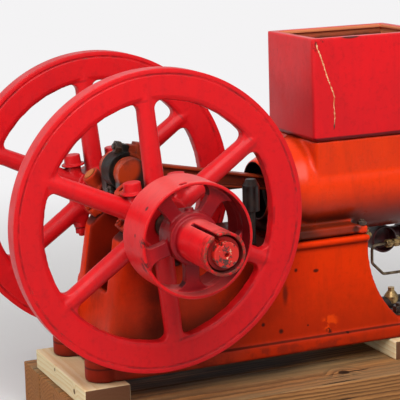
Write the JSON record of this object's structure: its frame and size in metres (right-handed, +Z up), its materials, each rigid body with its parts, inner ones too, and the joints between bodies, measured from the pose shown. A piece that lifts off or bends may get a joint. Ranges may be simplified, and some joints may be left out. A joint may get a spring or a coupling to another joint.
{
  "type": "hit-and-miss engine",
  "caption": "Horizontal open-crank hit-and-miss engine with spoked flywheels, belt pulley and water hopper, bolted base resting on timber blocks.",
  "frame": {"origin": "on the floor under the crankshaft axis, in the plane that halves the cylinder", "axes": "+X along the cylinder from the crank to the head, +Y along the crankshaft away from the belt pulley, +Z up"},
  "size_m": [1.026, 0.697, 0.732],
  "materials": {
    "red_paint": "glossy",
    "orange_paint": "satin",
    "oily_iron": "oily",
    "bare_iron": "satin",
    "brass": "satin",
    "pine": "rough",
    "old_timber": "rough"
  },
  "bodies": {
    "engine_frame": {"timber_near": "old_timber", "timber_middle": "old_timber", "timber_far": "old_timber", "block_crank_end": "pine", "block_head_end": "pine", "base": "orange_paint", "bearing_cap_near": "orange_paint", "bearing_cap_far": "orange_paint", "cylinder": "orange_paint", "hopper": "red_paint", "cylinder_head": "red_paint", "intake_valve": "bare_iron", "exhaust_valve": "bare_iron", "rocker_bracket": "red_paint", "rocker_arm": "bare_iron", "pushrod": "bare_iron", "timing_case": "orange_paint", "mixer": "oily_iron", "fuel_pipe": "brass", "tank_outlet": "oily_iron", "fuel_valve": "brass", "exhaust_elbow": "bare_iron", "spark_plug": "bare_iron", "drain_cock": "brass", "mouth_oiler": "oily_iron"},
    "crankshaft": {"crankshaft_near": "oily_iron", "crankshaft_far": "oily_iron", "flywheel_near": "red_paint", "flywheel_far": "red_paint", "hub_bolts_near": "red_paint", "hub_bolts_far": "red_paint", "pulley": "red_paint", "pulley_sleeve": "red_paint"},
    "piston": {"piston": "bare_iron", "wrist_pin": "bare_iron"},
    "connecting_rod": {"connecting_rod": "orange_paint", "rod_cap": "oily_iron", "crankpin": "bare_iron"}
  },
  "joints": [
    {"name": "crankshaft_turn", "type": "hinge", "parent": "engine_frame", "child": "crankshaft", "pos_m": [0, 0, 0.431], "axis": [0, 1, 0], "continuous": true},
    {"name": "piston_slide", "type": "slide", "parent": "engine_frame", "child": "piston", "axis": [1, 0, 0], "range_m": [-0.0575, 0.08]},
    {"name": "rod_swing", "type": "hinge", "parent": "piston", "child": "connecting_rod", "pos_m": [0.36992, 0, 0.431], "axis": [0, 1, 0], "range_deg": [-20.8, 0]}
  ]
}
